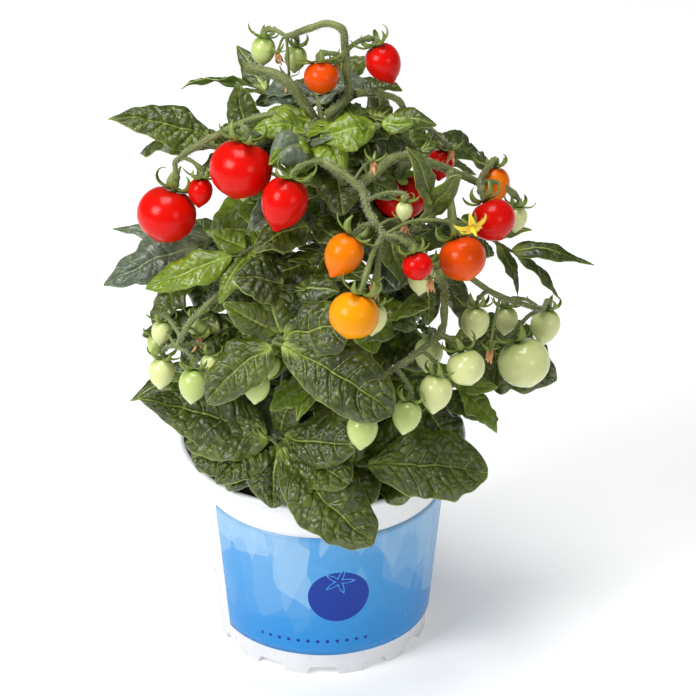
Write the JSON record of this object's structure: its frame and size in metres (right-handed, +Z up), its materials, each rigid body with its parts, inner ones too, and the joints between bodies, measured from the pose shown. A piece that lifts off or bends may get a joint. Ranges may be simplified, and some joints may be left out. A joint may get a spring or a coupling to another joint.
{
  "type": "potted tomato plant",
  "caption": "Bushy dwarf tomato plant with compound leaves, trusses of ripening fruit and a flower, growing in a plastic nursery pot with a printed wrap label.",
  "frame": {"origin": "centre of the flat middle of the pot's underside, on the surface the pot stands on, on the pot's axis", "axes": "+Z up along the pot's axis; -Y is the front, where the label's emblem and the two largest leaves face; +X is the plant's right seen from the front"},
  "size_m": [0.2353, 0.2048, 0.3356],
  "materials": {
    "pot_plastic": "white moulded plastic outside, glossy black inside, smooth with a soft sheen",
    "printed_label": "printed sheet wrap, pale blue facets over bright blue, satin",
    "compost": "dark crumbly peat compost, matt",
    "stem": "olive green hairy stem, matt",
    "truss_stem": "grey green fruit stalks with fine white hairs, matt",
    "leaf": "dark green puckered tomato leaf with paler veins and a satin haze",
    "petal": "thin bright yellow petals, matt",
    "fruit_red": "ripe red tomato skin, glossy",
    "fruit_orange": "orange ripening tomato skin, glossy",
    "fruit_yellow": "yellow orange ripening tomato skin, glossy",
    "fruit_green": "pale green unripe tomato skin, glossy"
  },
  "bodies": {
    "root": {"compost": "compost", "cut_shoot": "stem", "leaf_back_base": "leaf", "leaf_back_left": "leaf", "leaf_back_low_left": "leaf", "leaf_back_low_right": "leaf", "leaf_back_right": "leaf", "leaf_back_upper": "leaf", "leaf_center_oval": "leaf", "leaf_center_round": "leaf", "leaf_front_low": "leaf", "leaf_front_low_right": "leaf", "leaf_front_upper": "leaf", "leaf_inner_right": "leaf", "leaf_left_base": "leaf", "leaf_left_fold": "leaf", "leaf_left_lower": "leaf", "leaf_left_mid": "leaf", "leaf_left_upper": "leaf", "leaf_right_low": "leaf", "leaf_right_serrated": "leaf", "leaf_right_upper": "leaf", "leaf_slender": "leaf", "leaf_top_center": "leaf", "leaf_top_left": "leaf", "leaf_top_right": "leaf", "main_stem": "stem", "open_flower": "petal", "pot": "pot_plastic", "shoot_back": "stem", "tomato_back_green": "fruit_green", "tomato_back_large": "fruit_red", "tomato_back_left": "fruit_red", "tomato_back_low": "fruit_orange", "tomato_center_heart": "fruit_red", "tomato_front_lower": "fruit_yellow", "tomato_front_small": "fruit_red", "tomato_front_upper": "fruit_orange", "tomato_inner": "fruit_red", "tomato_left_green": "fruit_green", "tomato_left_large": "fruit_red", "tomato_left_second": "fruit_red", "tomato_low_pale": "fruit_green", "tomato_low_tip": "fruit_green", "tomato_right_front": "fruit_orange", "tomato_right_low": "fruit_green", "tomato_right_upper": "fruit_red", "tomato_top": "fruit_orange", "tomato_top_right": "fruit_red", "truss_back": "truss_stem", "truss_center": "truss_stem", "truss_front": "truss_stem", "truss_hairy": "truss_stem", "truss_left": "truss_stem", "truss_low": "truss_stem", "truss_right": "truss_stem", "truss_top": "truss_stem", "truss_top_right": "truss_stem", "truss_upper_left": "truss_stem", "wrap_label": "printed_label"}
  },
  "joints": []
}
